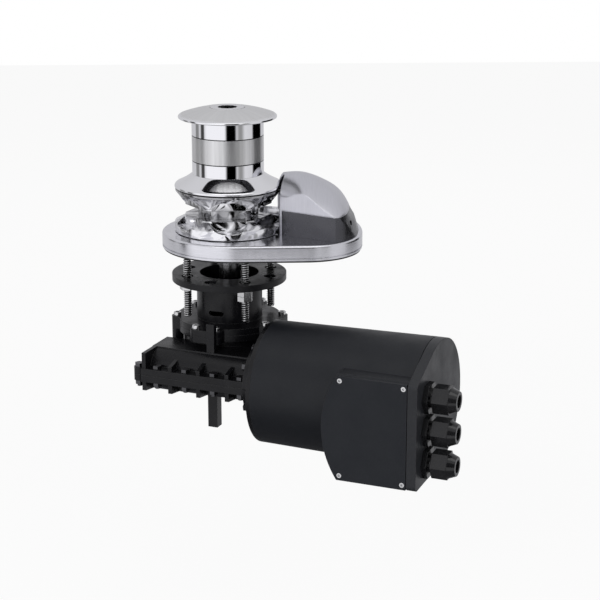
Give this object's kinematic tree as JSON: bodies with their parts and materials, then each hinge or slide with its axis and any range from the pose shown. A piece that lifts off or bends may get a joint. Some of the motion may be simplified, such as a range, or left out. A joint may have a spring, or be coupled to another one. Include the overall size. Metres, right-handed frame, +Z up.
{
  "type": "anchor windlass",
  "caption": "Vertical anchor windlass: capstan drum and chain gypsy on a deck base with chain cover, studs through the deck to a worm gearbox and electric motor below.",
  "frame": {"origin": "on the drum shaft's axis in the plane of the base gasket's underside, where the deck's top face lies", "axes": "+Z up along the drum shaft, +X from the shaft towards the chain pipe at the cover's end, the motor hangs below and points 25 degrees from +X towards -Y"},
  "size_m": [0.392, 0.3626, 0.3937],
  "materials": {
    "polished_chrome": "mirror polish",
    "satin_chrome": "fine satin",
    "stainless": "bright",
    "shaft_steel": "ground",
    "black_casting": "satin",
    "matt_black_case": "matt",
    "dark_plastic": "gloss",
    "black_rubber": "matt",
    "bronze": "machined",
    "copper": "machined",
    "motor_iron": "matt",
    "moulded_black": "matt"
  },
  "bodies": {
    "frame": {"adapter_screws": "stainless", "base": "satin_chrome", "base_gasket": "black_rubber", "brush_holder": "moulded_black", "brushes": "moulded_black", "chain_cover": "satin_chrome", "cover_screws": "stainless", "cover_skirt": "dark_plastic", "deck_studs": "stainless", "field_magnets": "motor_iron", "gearbox_seal": "black_rubber", "gearcase_bolts": "stainless", "gearcase_gasket": "black_rubber", "gearcase_lower": "black_casting", "gearcase_nuts": "stainless", "gearcase_upper": "black_casting", "gland_bodies": "dark_plastic", "gland_locknuts": "dark_plastic", "gland_nuts": "dark_plastic", "gland_seals": "black_rubber", "lever_pin": "stainless", "lever_spring": "stainless", "lid_gasket": "black_rubber", "lid_screws": "stainless", "motor_adapter": "black_casting", "motor_bearings": "shaft_steel", "motor_casing": "matt_black_case", "motor_end_shield": "motor_iron", "pole_housing": "motor_iron", "rear_cover": "matt_black_case", "rear_cover_gasket": "black_rubber", "shaft_bearings": "shaft_steel", "shaft_bush": "bronze", "shaft_seal": "black_rubber", "stripper": "polished_chrome", "stripper_screw": "stainless", "stud_nuts": "stainless", "stud_washers": "stainless", "terminal_block": "moulded_black", "terminal_lid": "matt_black_case", "terminal_studs": "copper", "tower": "black_casting", "tower_screws": "stainless", "worm_bearings": "shaft_steel", "worm_cover_screws": "stainless", "worm_end_cover": "black_casting"},
    "shaft": {"main_shaft": "shaft_steel", "shaft_keys": "shaft_steel", "lower_clutch_cone": "stainless", "worm_wheel": "bronze", "top_circlip": "stainless"},
    "gypsy": {"gypsy": "polished_chrome"},
    "drum": {"drum": "polished_chrome", "upper_clutch_cone": "polished_chrome"},
    "clutch_nut": {"clutch_nut": "polished_chrome"},
    "worm": {"worm_shaft": "shaft_steel", "shaft_coupling": "shaft_steel", "armature": "motor_iron", "commutator": "copper"},
    "lever": {"pressure_lever": "stainless"}
  },
  "joints": [
    {"name": "motor_spin", "type": "hinge", "parent": "frame", "child": "worm", "pos_m": [-0.0317, -0.06797, -0.142], "axis": [0.9063, -0.4226, 0], "continuous": true},
    {"name": "shaft_spin", "type": "hinge", "parent": "frame", "child": "shaft", "pos_m": [0, 0, 0], "axis": [0, 0, 1], "continuous": true},
    {"name": "gypsy_free_spin", "type": "hinge", "parent": "shaft", "child": "gypsy", "pos_m": [0, 0, 0.05], "axis": [0, 0, 1], "continuous": true},
    {"name": "drum_lift", "type": "slide", "parent": "shaft", "child": "drum", "axis": [0, 0, 1], "range_m": [0, 0.002]},
    {"name": "clutch_nut_turn", "type": "hinge", "parent": "drum", "child": "clutch_nut", "pos_m": [0, 0, 0.15], "axis": [0, 0, 1], "range_deg": [0, 360]},
    {"name": "lever_swing", "type": "hinge", "parent": "frame", "child": "lever", "pos_m": [0.08, 0.031, 0], "axis": [0, 0, 1], "range_deg": [0, 20], "stiffness_Nm_per_rad": 0.5, "springref_deg": -20.05}
  ],
  "couplings": [
    {"joint": "shaft_spin", "follows": "motor_spin", "ratio": -0.026316},
    {"joint": "clutch_nut_turn", "follows": "drum_lift", "rad_per_m": 3141.6}
  ]
}
